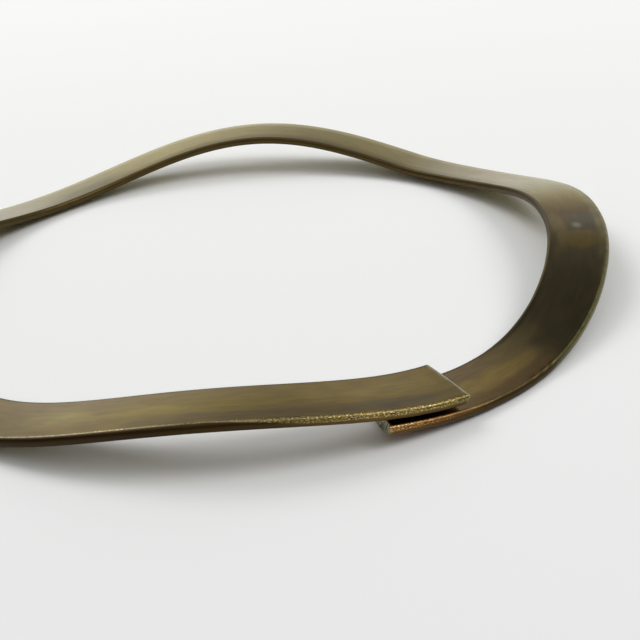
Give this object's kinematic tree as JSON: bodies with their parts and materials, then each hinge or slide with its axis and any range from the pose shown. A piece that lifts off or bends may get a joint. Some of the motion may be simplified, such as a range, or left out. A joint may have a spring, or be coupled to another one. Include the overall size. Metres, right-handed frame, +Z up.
{
  "type": "wave spring washer",
  "caption": "Ring of flat spring wire with rounded edges, formed into four waves, with overlapping ends, for preloading a bearing or taking up end play in a bore.",
  "frame": {"origin": "on the ring's axis, in the plane the valleys rest on", "axes": "+Z up along the ring's axis, +X towards the first crest on the right, -Y towards the overlapping ends"},
  "size_m": [0.061, 0.061, 0.0041],
  "materials": {
    "spring_steel": "rolled flat spring steel, satin, heat tinted olive brown"
  },
  "bodies": {
    "root": {"spring": "spring_steel"}
  },
  "joints": []
}
